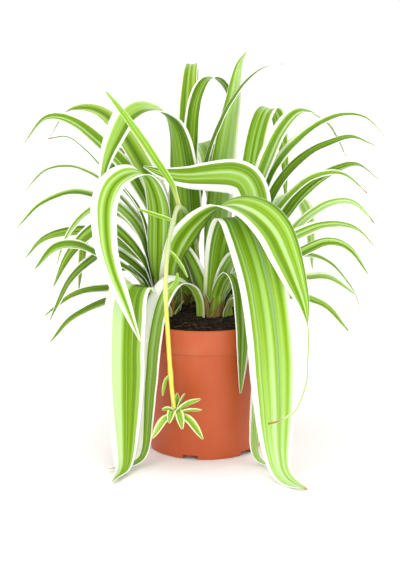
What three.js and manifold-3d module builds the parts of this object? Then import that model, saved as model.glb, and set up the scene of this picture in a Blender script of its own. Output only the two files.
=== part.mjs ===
// A potted spider plant: four crowns of arching, strap-shaped leaves in a moulded nursery pot filled with
// compost, and one runner that hangs over the rim with a young plant on its end.
// Millimetres, +Z up. The origin is the centre of the pot's underside, and -Y is the front.

import * as THREE from "three";
import { mergeVertices } from "three/addons/utils/BufferGeometryUtils.js";
import Module from "manifold-3d";

const wasm = await Module();
wasm.setup();

// ---- Driving sizes ----

const POT = {
  height: 108,
  rimRadius: 60,
  baseRadius: 46.5,
  wall: 1.6,
  floor: 2,
  bandHeight: 20,
  bandStep: 1.5,
  footRound: 1.5,
  sides: 60,
};
const SLOT = { count: 6, width: 12, height: 3.6, depth: 7, firstHeading: 256 };
const COMPOST = { belowRim: 9, mound: 14, sides: 36 };
const CROWN = { radius: 16, rise: 10, depth: 18, dome: 4, rings: 9, sides: 20 };
const LEAF = { thickness: 0.9, neckShare: 0.42, tip: 1.2, channel: 0.1, straight: 7, widthScale: 1 };
const RUNNER = { diameter: 3.4, sides: 8, steps: 44 };
const CLEARANCE = 0.3;
const LEAF_GAP = 0.6;
const leafNeck = LEAF.neckShare * CROWN.radius;

// The crowns and midribs below are drawn for a pot of this size, and settle() carries them to POT.
const DRAWN_FOR = { height: 108, rimRadius: 60 };
const TABLE_GAP = 0.5;

// ---- Helpers ----

const radians = THREE.MathUtils.degToRad;

/** Carries a drawn point to the pot as it is: inside the rim it keeps its share, outside its distance. */
function settle(x, y, z) {
  const radius = Math.hypot(x, y);
  const wider = POT.rimRadius - DRAWN_FOR.rimRadius;
  const settled =
    radius < DRAWN_FOR.rimRadius ? (radius * POT.rimRadius) / DRAWN_FOR.rimRadius : radius + wider;
  const share = radius > 0 ? settled / radius : 1;
  const height =
    z < DRAWN_FOR.height ? (z * POT.height) / DRAWN_FOR.height : z + POT.height - DRAWN_FOR.height;
  return new THREE.Vector3(x * share, y * share, height);
}

/** Drops a geometry's normals and uvs and merges its corners, so that it is one closed mesh. */
function closed(geometry) {
  const bare = geometry.index ? geometry.toNonIndexed() : geometry.clone();
  bare.deleteAttribute("normal");
  bare.deleteAttribute("uv");
  return mergeVertices(bare, 1e-3);
}

function solidOf(geometry) {
  const merged = closed(geometry);
  const triVerts = new Uint32Array(merged.index.array);
  const vertProperties = new Float32Array(merged.attributes.position.array);
  return new wasm.Manifold(new wasm.Mesh({ numProp: 3, vertProperties, triVerts }));
}

function geometryOf(solid) {
  const mesh = solid.getMesh();
  const geometry = new THREE.BufferGeometry();
  geometry.setAttribute("position", new THREE.BufferAttribute(mesh.vertProperties, 3));
  geometry.setIndex(new THREE.BufferAttribute(mesh.triVerts, 1));
  return geometry;
}

/** A lathed solid about +Z from [radius, height] pairs that run up the outside and back to the axis. */
function lathed(profile, sides) {
  const points = profile.map(([radius, height]) => new THREE.Vector2(radius, height));
  return new THREE.LatheGeometry(points, sides).rotateX(Math.PI / 2);
}

const materials = {
  pot: new THREE.MeshStandardMaterial({ color: 0xd9683f, roughness: 0.55, metalness: 0 }),
  compost: new THREE.MeshStandardMaterial({ color: 0x2a211c, roughness: 0.95, metalness: 0 }),
  crown: new THREE.MeshStandardMaterial({ color: 0xc6cf8f, roughness: 0.6, metalness: 0 }),
  leaf: new THREE.MeshStandardMaterial({ color: 0x7fae3c, roughness: 0.45, metalness: 0 }),
  runner: new THREE.MeshStandardMaterial({ color: 0xc3cf4a, roughness: 0.5, metalness: 0 }),
};

const plant = new THREE.Group();

function add(name, geometry, material) {
  const mesh = new THREE.Mesh(geometry, material);
  mesh.name = name;
  plant.add(mesh);
  return mesh;
}

// ---- Pot: a tapered shell with a deep rim band, and drainage slots where the wall meets the floor ----

const bandBottom = POT.height - POT.bandHeight;
const taper = (POT.rimRadius - POT.bandStep - POT.baseRadius) / POT.height;

/** The radius of the pot's outside at a height, below the band or on it. */
function potRadius(height) {
  const onBand = height > bandBottom ? POT.bandStep : 0;
  return POT.baseRadius + taper * height + onBand;
}

function potGeometry() {
  const inside = (height) => potRadius(height) - POT.wall;
  const stepTop = bandBottom + POT.bandStep;
  const profile = [
    [0, 0],
    [POT.baseRadius - POT.footRound, 0],
    [potRadius(POT.footRound), POT.footRound],
    [potRadius(bandBottom), bandBottom],
    [potRadius(bandBottom) + POT.bandStep, bandBottom],
    [POT.rimRadius, POT.height],
    [inside(POT.height), POT.height],
    [inside(stepTop), stepTop],
    [inside(bandBottom), bandBottom],
    [inside(POT.floor), POT.floor],
    [0, POT.floor],
  ];
  let pot = solidOf(lathed(profile, POT.sides));
  for (let i = 0; i < SLOT.count; i++) {
    const slot = new THREE.BoxGeometry(2 * SLOT.depth, SLOT.width, 2 * SLOT.height);
    slot.translate(POT.baseRadius, 0, 0);
    slot.rotateZ(radians(SLOT.firstHeading + (360 * i) / SLOT.count));
    pot = pot.subtract(solidOf(slot));
  }
  return geometryOf(pot);
}

add("pot", potGeometry(), materials.pot);

// ---- Crowns: the short rootstocks that the leaves grow from ----

const DRAWN_CROWNS = {
  main: { x: 6, y: -14 },
  left: { x: -32, y: -8 },
  right: { x: 26, y: 22 },
  rear: { x: -18, y: 28 },
};
const CROWNS = {};
for (const [name, drawn] of Object.entries(DRAWN_CROWNS)) CROWNS[name] = settle(drawn.x, drawn.y, 0);
const crownTop = POT.height + CROWN.rise;

/** A crown's outline, grown by a margin: a short knob with a domed top. */
function crownSolid(centre, margin) {
  const radius = CROWN.radius + margin;
  const top = crownTop + margin;
  const profile = [
    [0, crownTop - CROWN.depth - margin],
    [radius * 0.7, crownTop - CROWN.depth - margin],
    [radius, crownTop - CROWN.depth / 2],
    [radius, top - CROWN.dome],
    [radius * 0.7, top - CROWN.dome * 0.4],
    [0, top],
  ];
  return solidOf(lathed(profile, CROWN.sides).translate(centre.x, centre.y, 0));
}

for (const [name, centre] of Object.entries(CROWNS)) {
  add(`${name}_crown`, geometryOf(crownSolid(centre, 0)), materials.crown);
}

// ---- Compost: fills the pot and rises in a low mound round the crowns ----

function compostGeometry() {
  const edge = POT.height - COMPOST.belowRim;
  const fill = (height) => potRadius(height) - POT.wall - CLEARANCE;
  const profile = [
    [0, POT.floor + CLEARANCE],
    [fill(POT.floor), POT.floor + CLEARANCE],
    [fill(bandBottom - CLEARANCE), bandBottom - CLEARANCE],
    [fill(bandBottom - CLEARANCE), edge],
    [fill(0) * 0.95, edge + COMPOST.mound * 0.55],
    [fill(0) * 0.65, edge + COMPOST.mound * 0.9],
    [0, edge + COMPOST.mound],
  ];
  let compost = solidOf(lathed(profile, COMPOST.sides));
  for (const centre of Object.values(CROWNS)) {
    compost = compost.subtract(crownSolid(centre, CLEARANCE));
  }
  return geometryOf(compost);
}

add("compost", compostGeometry(), materials.compost);

// ---- Blades: every leaf, bract and plantlet leaf is a box bent along its midrib ----

/** Moves and turns along a curve: points with across and upper-face directions, without twisting. */
function framesAlong(curve, steps, across, roll) {
  const frames = [];
  let side = across.clone();
  let before = null;
  for (let i = 0; i <= steps; i++) {
    const t = i / steps;
    const tangent = curve.getTangentAt(t).normalize();
    if (before) side.applyQuaternion(new THREE.Quaternion().setFromUnitVectors(before, tangent));
    side.addScaledVector(tangent, -side.dot(tangent)).normalize();
    before = tangent;
    const turned = side.clone().applyAxisAngle(tangent, radians(rollAt(roll, t)));
    const upper = new THREE.Vector3().crossVectors(tangent, turned);
    frames.push({ point: curve.getPointAt(t), across: turned, upper });
  }
  return frames;
}

/** The roll in degrees at a share of the length, from values spread evenly along it. */
function rollAt(values, t) {
  if (values.length === 1) return values[0];
  const place = t * (values.length - 1);
  const i = Math.min(Math.floor(place), values.length - 2);
  return THREE.MathUtils.lerp(values[i], values[i + 1], place - i);
}

/**
 * A strap leaf's width at a share of its length: a narrow neck, a long even blade and a fine tip.
 * A leaf that withers narrows from one share of its length to another, and is a thin dry strip beyond.
 */
function strapWidth(t, width, [from, to] = [0.5, 1]) {
  const neck = Math.min(leafNeck, width);
  const swelling = neck + (width - neck) * THREE.MathUtils.smoothstep(t, 0, 0.45);
  const tapering = 1 - THREE.MathUtils.clamp((t - from) / (to - from), 0, 1) ** 1.7;
  return LEAF.tip + (swelling - LEAF.tip) * tapering;
}

function bladeGeometry({ curve, across, roll = [0], width, withers, thickness, steps }) {
  const blade = new THREE.BoxGeometry(1, 1, 1, steps, 2, 1);
  const frames = framesAlong(curve, steps, across, roll);
  const position = blade.attributes.position;
  const corner = new THREE.Vector3();
  for (let i = 0; i < position.count; i++) {
    corner.fromBufferAttribute(position, i);
    const t = corner.x + 0.5;
    const { point, across: side, upper } = frames[Math.round(t * steps)];
    const wide = strapWidth(t, width, withers);
    const channel = wide * LEAF.channel * (4 * Math.abs(corner.y) - 1);
    const placed = point.clone();
    placed.addScaledVector(side, corner.y * wide);
    placed.addScaledVector(upper, corner.z * thickness + channel);
    placed.z = Math.max(placed.z, TABLE_GAP * (1 + corner.z));
    position.setXYZ(i, placed.x, placed.y, placed.z);
  }
  return closed(blade);
}

// ---- Leaves ----

// Each leaf grows from its crown in the upright plane of its heading (degrees from +X towards +Y). Its midrib
// is drawn there as [distance out from the crown, height above the table, drift to the left if any].
// ring is its place on the crown, from 1 in the middle to 9 at the edge, and withers is where it narrows.
const LEAVES = {
  left: [
    {
      heading: 241, width: 33, ring: 9, shift: -3,
      midrib: [[26, 130, 2], [48, 143, 5], [60, 131, 5], [64, 98, 5], [65, 60, 5], [65, 20, 5],
        [74, 4, 9], [100, 3, 16]],
    },
    {
      heading: 222, width: 23, ring: 1, roll: [0, 35, 15, -20, -30, -30],
      midrib: [[11, 148, 5], [12, 190, 7], [19, 212, 10], [29, 226, 11], [43, 228, 10], [57, 221, 8],
        [65, 207, 8], [69, 190, 12], [71, 173, 17], [71, 155, 25], [70, 138, 35], [68, 117, 46],
        [67, 108, 51]],
    },
    {
      heading: 322, width: 31, ring: 3, withers: [0.45, 0.73], roll: [0, -40, 5, 40, 45, 45],
      midrib: [[11, 145, -6], [19, 166, -6], [32, 184, -6], [45, 197, -3], [58, 204], [74, 205],
        [91, 200], [106, 188], [117, 170], [126, 152], [134, 134], [138, 115], [139, 96, -2], [140, 78, -5],
        [137, 59, -14], [130, 52, -24], [124, 50, -31]],
    },
    {
      heading: 170, width: 16, ring: 3, roll: [0, 10, 20],
      midrib: [[17, 184], [34, 212], [50, 228], [62, 240], [77, 250], [93, 248]],
    },
    {
      heading: 176, width: 17, ring: 4, roll: [0, -15, -30],
      midrib: [[17, 170], [36, 195], [51, 196], [67, 186], [79, 168], [86, 148]],
    },
    {
      heading: 192, width: 18, ring: 5, roll: [0, -25, -40],
      midrib: [[17, 153], [33, 174], [46, 182], [60, 177], [76, 159], [88, 136]],
    },
    {
      heading: 206, width: 16, ring: 7, roll: [0, -20, -35],
      midrib: [[28, 146], [57, 163], [75, 172], [92, 171], [108, 156]],
    },
    {
      heading: 182, width: 18, ring: 6, roll: [0, -15, -30],
      midrib: [[15, 140], [31, 155], [43, 160], [56, 155], [75, 137], [91, 105]],
    },
    {
      heading: 158, width: 12, ring: 8, roll: [0, -25],
      midrib: [[14, 133], [22, 142], [32, 144], [42, 137], [50, 123]],
    },
    {
      heading: 194, width: 12, ring: 9, roll: [0, -20],
      midrib: [[28, 127], [48, 122], [74, 110], [92, 92]],
    },
  ],
  main: [
    {
      heading: 213, width: 22, ring: 9, shift: 3,
      midrib: [[24, 138, 1], [41, 143, 4], [54, 128, 5], [62, 94, 5], [66, 50, 5], [69, 14, 5],
        [78, 4, 5], [102, 3, 5]],
    },
    {
      heading: 303, width: 36, ring: 2, withers: [0.62, 1], roll: [0, 0, 30, 33, 33, 20],
      midrib: [[12, 164], [25, 192], [38, 194], [50, 182], [62, 163], [72, 140], [80, 108], [85, 64],
        [89, 20], [100, 4], [128, 3]],
    },
    {
      heading: 299, width: 16, ring: 6,
      midrib: [[12, 130], [22, 144], [33, 150], [43, 143], [49, 120], [48, 90], [45, 57]],
    },
    {
      heading: 310, width: 21, ring: 4,
      midrib: [[17, 150], [33, 166], [48, 155], [58, 118], [58, 82], [54, 50], [50, 18], [56, 4],
        [74, 3]],
    },
    {
      heading: 168, width: 22, ring: 5, roll: [0, 50, 40, 0],
      midrib: [[10, 134], [15, 148], [22, 161], [30, 168], [38, 166], [44, 156]],
    },
    {
      heading: 68, width: 24, ring: 4, shift: 6, roll: [0, -10, -20],
      midrib: [[20, 136], [45, 180, 6], [59, 228, 6], [66, 270, 2], [74, 300], [92, 312]],
    },
    {
      heading: 15, width: 15, ring: 6, shift: 2, roll: [0, 20, 35],
      midrib: [[35, 153], [71, 171], [96, 178], [119, 175], [139, 157]],
    },
    {
      heading: 2, width: 14, ring: 8, roll: [0, 20, 35],
      midrib: [[36, 141], [70, 160], [92, 168], [109, 162], [124, 142]],
    },
    {
      heading: 346, width: 12, ring: 9, roll: [0, 20, 30],
      midrib: [[40, 128], [70, 129], [92, 122], [109, 104]],
    },
  ],
  right: [
    {
      heading: 203, width: 30, ring: 2, roll: [0, -60, -85, -90, -90, -80],
      midrib: [[2, 147, 12], [-2, 170, 18], [-5, 190, 19], [-4, 204, 18], [1, 214, 16], [9, 218, 14],
        [18, 219, 12], [31, 219, 10], [47, 219, 8], [65, 222, 6], [82, 229, 5]],
    },
    {
      heading: 24, width: 22, ring: 3, roll: [0, 15],
      midrib: [[14, 189], [29, 233], [45, 258], [61, 266], [84, 254], [102, 225]],
    },
    {
      heading: 10, width: 14, ring: 4, roll: [0, 15, 25],
      midrib: [[15, 172], [28, 216], [47, 242], [77, 262], [104, 262], [122, 246]],
    },
    {
      heading: 15, width: 13, ring: 5, roll: [0, 15, 30],
      midrib: [[16, 160], [28, 195], [44, 219], [62, 233], [80, 241], [98, 245], [118, 237]],
    },
    {
      heading: 4, width: 12, ring: 6, roll: [0, 15, 30],
      midrib: [[17, 152], [31, 185], [49, 206], [65, 216], [86, 217], [106, 201]],
    },
    {
      heading: 22, width: 15, ring: 7, roll: [0, 15, 30],
      midrib: [[20, 150], [46, 185], [62, 201], [86, 216], [109, 220], [130, 206]],
    },
    {
      heading: 0, width: 14, ring: 8, roll: [0, 20, 35],
      midrib: [[24, 142], [46, 171], [63, 187], [78, 195], [95, 194], [111, 178]],
    },
    {
      heading: 18, width: 13, ring: 9, roll: [0, 15, 30],
      midrib: [[35, 138], [57, 148], [81, 141], [101, 119], [112, 95]],
    },
    {
      heading: 348, width: 12, ring: 9, roll: [0, 20, 30],
      midrib: [[30, 129], [58, 136], [78, 136], [99, 122]],
    },
    {
      heading: 68, width: 18, ring: 7, shift: -2,
      midrib: [[14, 170], [36, 232], [62, 262], [92, 258], [112, 222], [118, 178]],
    },
    {
      heading: 110, width: 20, ring: 5, shift: 5,
      midrib: [[20, 167], [44, 216], [72, 236], [102, 218], [116, 172], [118, 120]],
    },
    {
      heading: 52, width: 20, ring: 9,
      midrib: [[26, 150], [54, 182], [82, 190], [104, 168], [112, 122]],
    },
  ],
  rear: [
    {
      heading: 150, width: 23, ring: 2, roll: [0, -15, -25],
      midrib: [[15, 178], [42, 228], [66, 256], [88, 266], [112, 262], [130, 240]],
    },
    {
      heading: 172, width: 23, ring: 3, roll: [0, -15, -30],
      midrib: [[18, 171], [43, 216], [67, 241], [90, 258], [112, 260], [130, 240]],
    },
    {
      heading: 185, width: 14, ring: 5, roll: [0, 15, 25],
      midrib: [[26, 168], [50, 199], [66, 214], [88, 224], [109, 222], [126, 206]],
    },
    {
      heading: 193, width: 13, ring: 6, roll: [0, -15, -30],
      midrib: [[27, 159], [51, 188], [72, 202], [92, 205], [116, 196], [134, 178]],
    },
    {
      heading: 180, width: 16, ring: 8, roll: [0, -20, -35],
      midrib: [[24, 139], [51, 160], [73, 169], [90, 170], [112, 164], [128, 148]],
    },
    {
      heading: 190, width: 11, ring: 9, roll: [0, -20, -30],
      midrib: [[27, 124], [64, 125], [91, 120], [113, 104]],
    },
    {
      heading: 85, width: 16, ring: 5,
      midrib: [[16, 168], [32, 226], [48, 272], [74, 298], [104, 292], [124, 258]],
    },
    {
      heading: 55, width: 16, ring: 3,
      midrib: [[8, 176], [12, 236], [20, 276], [38, 292], [62, 284], [80, 254]],
    },
    {
      heading: 215, width: 32, ring: 1, shift: 3, roll: [10, 35, 0, -30, -40],
      midrib: [[0, 179], [3, 229], [9, 257], [22, 270], [38, 274], [52, 269], [62, 257], [72, 238],
        [80, 210]],
    },
    {
      heading: 125, width: 20, ring: 7,
      midrib: [[20, 165], [46, 208], [76, 230], [104, 218], [122, 180], [126, 134]],
    },
    {
      heading: 102, width: 18, ring: 9,
      midrib: [[22, 148], [46, 180], [70, 188], [90, 166], [98, 122], [100, 76]],
    },
    {
      heading: 15, width: 12, ring: 5,
      midrib: [[12, 172], [20, 222], [32, 256], [48, 284], [66, 300], [84, 304]],
    },
    {
      heading: 140, width: 18, ring: 9,
      midrib: [[26, 144], [56, 172], [86, 174], [110, 150], [120, 104]],
    },
  ],
};

/** A leaf's midrib: straight up from its ring on the crown's dome, then through its own points. */
function midribCurve(name, { heading, ring, shift = 0, midrib }) {
  const turn = radians(heading);
  const onto = (centre, out, left) => [
    centre.x + out * Math.cos(turn) - left * Math.sin(turn),
    centre.y + out * Math.sin(turn) + left * Math.cos(turn),
  ];
  const rootOut = (CROWN.radius * (ring - 0.5)) / CROWN.rings;
  const fromCentre = Math.hypot(rootOut, Math.max(0, Math.abs(shift) - leafNeck / 2)) / CROWN.radius;
  const root = new THREE.Vector3(...onto(CROWNS[name], rootOut, shift));
  root.z = crownTop - CROWN.dome * fromCentre ** 2 + LEAF_GAP;
  const shoot = new THREE.Vector3(...onto(CROWNS[name], rootOut + 1, shift), root.z + LEAF.straight);
  const points = midrib.map(([out, up, left = 0]) => {
    return settle(...onto(DRAWN_CROWNS[name], out, shift + left), up);
  });
  return new THREE.CatmullRomCurve3([root, shoot, ...points], false, "catmullrom", 0.5);
}

for (const [name, leaves] of Object.entries(LEAVES)) {
  leaves.forEach((leaf, i) => {
    const turn = radians(leaf.heading);
    const geometry = bladeGeometry({
      curve: midribCurve(name, leaf),
      across: new THREE.Vector3(-Math.sin(turn), Math.cos(turn), 0),
      roll: leaf.roll,
      width: leaf.width * LEAF.widthScale,
      withers: leaf.withers,
      thickness: LEAF.thickness,
      steps: 2 * leaf.midrib.length,
    });
    add(`${name}_leaf_${String(i + 1).padStart(2, "0")}`, geometry, materials.leaf);
  });
}

// ---- Runner: a thin stem that arches over the rim, with a bract at each joint and a plantlet ----

const runnerPoints = [
  [-5, 5, 121],
  [-5, 4, 140],
  [-6, 0, 160],
  [-9, -10, 178],
  [-14, -27, 194],
  [-20, -46, 202],
  [-24, -56, 192],
  [-28, -62, 172],
  [-29.5, -66, 140],
  [-28, -68, 109],
  [-25.5, -68, 69],
  [-23, -68, 50.8],
].map(([x, y, z]) => settle(x, y, z));
const runnerCurve = new THREE.CatmullRomCurve3(runnerPoints, false, "catmullrom", 0.5);

const runnerSection = new THREE.Shape(
  Array.from({ length: RUNNER.sides }, (_, i) => {
    const turn = (2 * Math.PI * i) / RUNNER.sides;
    const radius = RUNNER.diameter / 2;
    return new THREE.Vector2(radius * Math.cos(turn), radius * Math.sin(turn));
  }),
);
const runner = new THREE.ExtrudeGeometry(runnerSection, {
  steps: RUNNER.steps,
  bevelEnabled: false,
  extrudePath: runnerCurve,
});
add("runner", closed(runner), materials.runner);

// Each bract is drawn from its joint on the runner, as steps [to the right, towards the back, up].
const BRACTS = [
  {
    joint: [-20, -46, 202], width: 6,
    midrib: [[0.5, -1.5, 6], [0.5, -3, 11], [-4, -4, 19], [-17, -6, 38], [-29, -8, 56], [-44, -10, 77],
      [-53, -11, 88]],
  },
  {
    joint: [-24, -56, 192], width: 3.4,
    midrib: [[-3, -1, 2.5], [-10, -2, 5], [-18, -3, 8], [-26, -4, 11]],
  },
  {
    joint: [-28, -62, 172], width: 3.6,
    midrib: [[4, -1.5, -3], [8, -3, -8], [12, -4, -14], [15, -5, -20]],
  },
  {
    joint: [-29.5, -66, 140], width: 3.4,
    midrib: [[3.5, -1, 2], [7, -2, 6], [8.5, -3, 11], [9, -3, 16]],
  },
  {
    joint: [-26, -68, 76], width: 3.6,
    midrib: [[-3.2, -1.5, -3], [-4.5, -2, -7], [-5.5, -2, -12], [-6, -2, -16]],
  },
];

function jointedBlade([x, y, z], steps, width, across) {
  const points = steps.map(([right, back, up]) => settle(x + right, y + back, z + up));
  return bladeGeometry({
    curve: new THREE.CatmullRomCurve3(points, false, "catmullrom", 0.5),
    across,
    width,
    thickness: LEAF.thickness,
    steps: 2 * points.length,
  });
}

BRACTS.forEach(({ joint, width, midrib }, i) => {
  const last = midrib[midrib.length - 1];
  const along = new THREE.Vector3(...last).normalize();
  const across = new THREE.Vector3().crossVectors(along, new THREE.Vector3(0, 1, 0)).normalize();
  add(`bract_${i + 1}`, jointedBlade(joint, midrib, width, across), materials.runner);
});

// ---- Plantlet: a small rosette whose leaves share one core, so it is one piece ----

const PLANTLET = { core: [-23, -68, 45], radius: 4, width: 6, sides: 12 };
// Each of its leaves as [heading, reach, rise at the middle, rise at the tip].
const PLANTLET_LEAVES = [
  [70, 6, 8, 15],
  [340, 21, 9, 14],
  [352, 21, 3, 4],
  [335, 24, -3, -17],
  [205, 19, -4, -17],
  [190, 10, 4, 4],
  [250, 12, 4, -4],
  [30, 9, 8, 15],
  [300, 12, 3, -9],
];

function plantletGeometry() {
  const [x, y, z] = PLANTLET.core;
  const core = new THREE.SphereGeometry(PLANTLET.radius, PLANTLET.sides, PLANTLET.sides / 2);
  const centre = settle(x, y, z);
  let plantlet = solidOf(core.translate(centre.x, centre.y, centre.z));
  for (const [heading, reach, middle, tip] of PLANTLET_LEAVES) {
    const turn = radians(heading);
    const steps = [[0, 0], [reach * 0.5, middle], [reach, tip]].map(([out, up]) => {
      return [out * Math.cos(turn), out * Math.sin(turn), up];
    });
    const across = new THREE.Vector3(-Math.sin(turn), Math.cos(turn), 0);
    plantlet = plantlet.add(solidOf(jointedBlade(PLANTLET.core, steps, PLANTLET.width, across)));
  }
  return geometryOf(plantlet);
}

add("plantlet", plantletGeometry(), materials.leaf);

export default plant;
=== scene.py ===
# %% [markdown]
# A potted spider plant. The CAD model of it is loaded first and is never moved: every piece made here takes
# the place of one of its nodes, in metres, in the same frame. +Z is up and -Y is the front. The plant's
# layout is repeated here in millimetres, as the CAD draws it. Each leaf is modelled finer along it, and is
# given a wider base, because real leaf bases sheathe each other.

import math
import random

import bpy
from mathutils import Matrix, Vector


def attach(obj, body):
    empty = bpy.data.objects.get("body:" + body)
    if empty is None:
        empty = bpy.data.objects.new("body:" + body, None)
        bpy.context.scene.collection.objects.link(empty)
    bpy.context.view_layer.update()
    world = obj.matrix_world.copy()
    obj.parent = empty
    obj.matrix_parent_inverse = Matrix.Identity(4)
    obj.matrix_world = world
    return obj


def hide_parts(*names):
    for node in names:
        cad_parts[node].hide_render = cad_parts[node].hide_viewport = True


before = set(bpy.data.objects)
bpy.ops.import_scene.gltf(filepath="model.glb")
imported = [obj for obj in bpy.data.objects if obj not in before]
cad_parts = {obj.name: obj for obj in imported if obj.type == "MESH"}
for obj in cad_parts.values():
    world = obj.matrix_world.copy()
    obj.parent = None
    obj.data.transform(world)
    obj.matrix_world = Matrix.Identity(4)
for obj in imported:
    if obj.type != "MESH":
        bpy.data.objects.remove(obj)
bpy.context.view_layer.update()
MM = 0.001
random.seed(11)


# %% [markdown]
# The camera stands a little over a metre in front of the pot and somewhat above it. It looks down by about
# twelve degrees through a long lens, so the pot's sides hardly converge.

# %% The camera
CAMERA_PLACE = Vector((-3.6, -1140, 380)) * MM
CAMERA_PITCH = math.radians(12.3)
CAMERA_LENS = 92.0

bpy.ops.object.camera_add(location=CAMERA_PLACE, rotation=(math.pi / 2 - CAMERA_PITCH, 0, 0))
camera = bpy.context.object
camera.name = "camera"
camera.data.lens = CAMERA_LENS
camera.data.sensor_width = 36
bpy.context.scene.camera = camera
print("camera at", [round(c, 3) for c in camera.location], "lens", CAMERA_LENS)


# %% [markdown]
# Two small helpers serve every material. Colours are written as the hex values a paint chart would give and
# turned to the linear values that a renderer adds up, and one function adds a node, sets it and links it.

# %% Helpers for materials
def linear(hex_colour):
    channels = [int(hex_colour[i : i + 2], 16) / 255 for i in (0, 2, 4)]
    return [c / 12.92 if c <= 0.04045 else ((c + 0.055) / 1.055) ** 2.4 for c in channels] + [1.0]


def add_node(tree, kind, settings=None, inputs=None, links=None):
    """Adds a node with its properties, its input values and the sockets linked to its inputs."""
    node = tree.nodes.new(kind)
    for name, value in (settings or {}).items():
        setattr(node, name, value)
    for name, value in (inputs or {}).items():
        node.inputs[name].default_value = value
    for name, socket in (links or {}).items():
        tree.links.new(socket, node.inputs[name])
    return node


def new_material(name, roughness, ior=1.45, specular=0.5):
    material = bpy.data.materials.new(name)
    material.use_nodes = True
    shader = material.node_tree.nodes["Principled BSDF"]
    shader.inputs["Roughness"].default_value = roughness
    shader.inputs["IOR"].default_value = ior
    shader.inputs["Specular IOR Level"].default_value = specular
    return material, material.node_tree, shader


def ramp(tree, factor, stops):
    """A colour ramp from (place, hex colour) stops."""
    node = add_node(tree, "ShaderNodeValToRGB", links={"Fac": factor})
    elements = node.color_ramp.elements
    while len(elements) < len(stops):
        elements.new(0.5)
    for element, (place, colour) in zip(elements, stops):
        element.position = place
        element.color = linear(colour)
    return node.outputs["Color"]


def math_node(tree, operation, first, second):
    """A Math node on two sockets or numbers."""
    node = add_node(tree, "ShaderNodeMath", {"operation": operation})
    for socket, value in zip(node.inputs, (first, second)):
        if isinstance(value, (int, float)):
            socket.default_value = value
        else:
            tree.links.new(value, socket)
    return node.outputs["Value"]


def mix_colours(tree, factor, first, second, blend="MIX"):
    """A Mix node for colours, each a socket or a linear colour."""
    node = add_node(tree, "ShaderNodeMix", {"data_type": "RGBA", "blend_type": blend})
    for socket, value in zip((node.inputs[0], node.inputs[6], node.inputs[7]), (factor, first, second)):
        if isinstance(value, (int, float, list)):
            socket.default_value = value
        else:
            tree.links.new(value, socket)
    return node.outputs[2]


# %% [markdown]
# A variegated leaf is living tissue in lengthwise bands. The middle is green in stripes of several
# strengths, because each stripe holds more or less chlorophyll. The margins hold none, so they are creamy
# white. The bands follow the leaf, so the pattern is drawn on the blade's own map: U runs from base to tip
# and V from edge to edge. Six values kept on each leaf vary it: its seed, the width and the place of the
# green, how pale the green is, how much painted shade darkens it where it stands in shade among the
# other leaves, and where the tip turns dry.
# The underside has a duller skin with raised parallel veins and hides most of the stripes.

# %% Leaf materials
LEAF_WIDTH = 22 * MM
VEIN_SPACING = 0.9 * MM
VEINS = LEAF_WIDTH / VEIN_SPACING
SEED_SPREAD = 37.0
BANDS = (0.3, 4.5, 1.5)
STREAKS = (0.7, 21.0, 2.0)
PALE_SHIFT = 0.22
BAND_SOFTNESS = 0.24
STREAK_STRENGTH = 0.3
MARGIN_FRAY = 0.5
SHEATH_STRENGTH = 0.6


def leaf_value(tree, name):
    """A number that is kept on each leaf."""
    return add_node(tree, "ShaderNodeAttribute", {"attribute_name": name}).outputs["Fac"]


def stretched_noise(tree, along, across, seed, scale_along, scale_across, detail):
    """Noise that varies across the leaf and hardly along it, so it reads as lengthwise streaks."""
    place = add_node(tree, "ShaderNodeCombineXYZ", links={
        "X": math_node(tree, "MULTIPLY", along, scale_along),
        "Y": math_node(tree, "MULTIPLY", across, scale_across),
        "Z": math_node(tree, "MULTIPLY", seed, SEED_SPREAD),
    }).outputs["Vector"]
    return add_node(tree, "ShaderNodeTexNoise", inputs={"Scale": 1.0, "Detail": detail},
                    links={"Vector": place}).outputs["Fac"]


def between_values(tree, value, low, high, to_low=0.0, to_high=1.0):
    """How far a value is from low to high, as a number from to_low to to_high."""
    return add_node(tree, "ShaderNodeMapRange", {"interpolation_type": "SMOOTHSTEP"}, inputs={
        "From Min": low, "From Max": high, "To Min": to_low, "To Max": to_high,
    }, links={"Value": value}).outputs["Result"]


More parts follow.
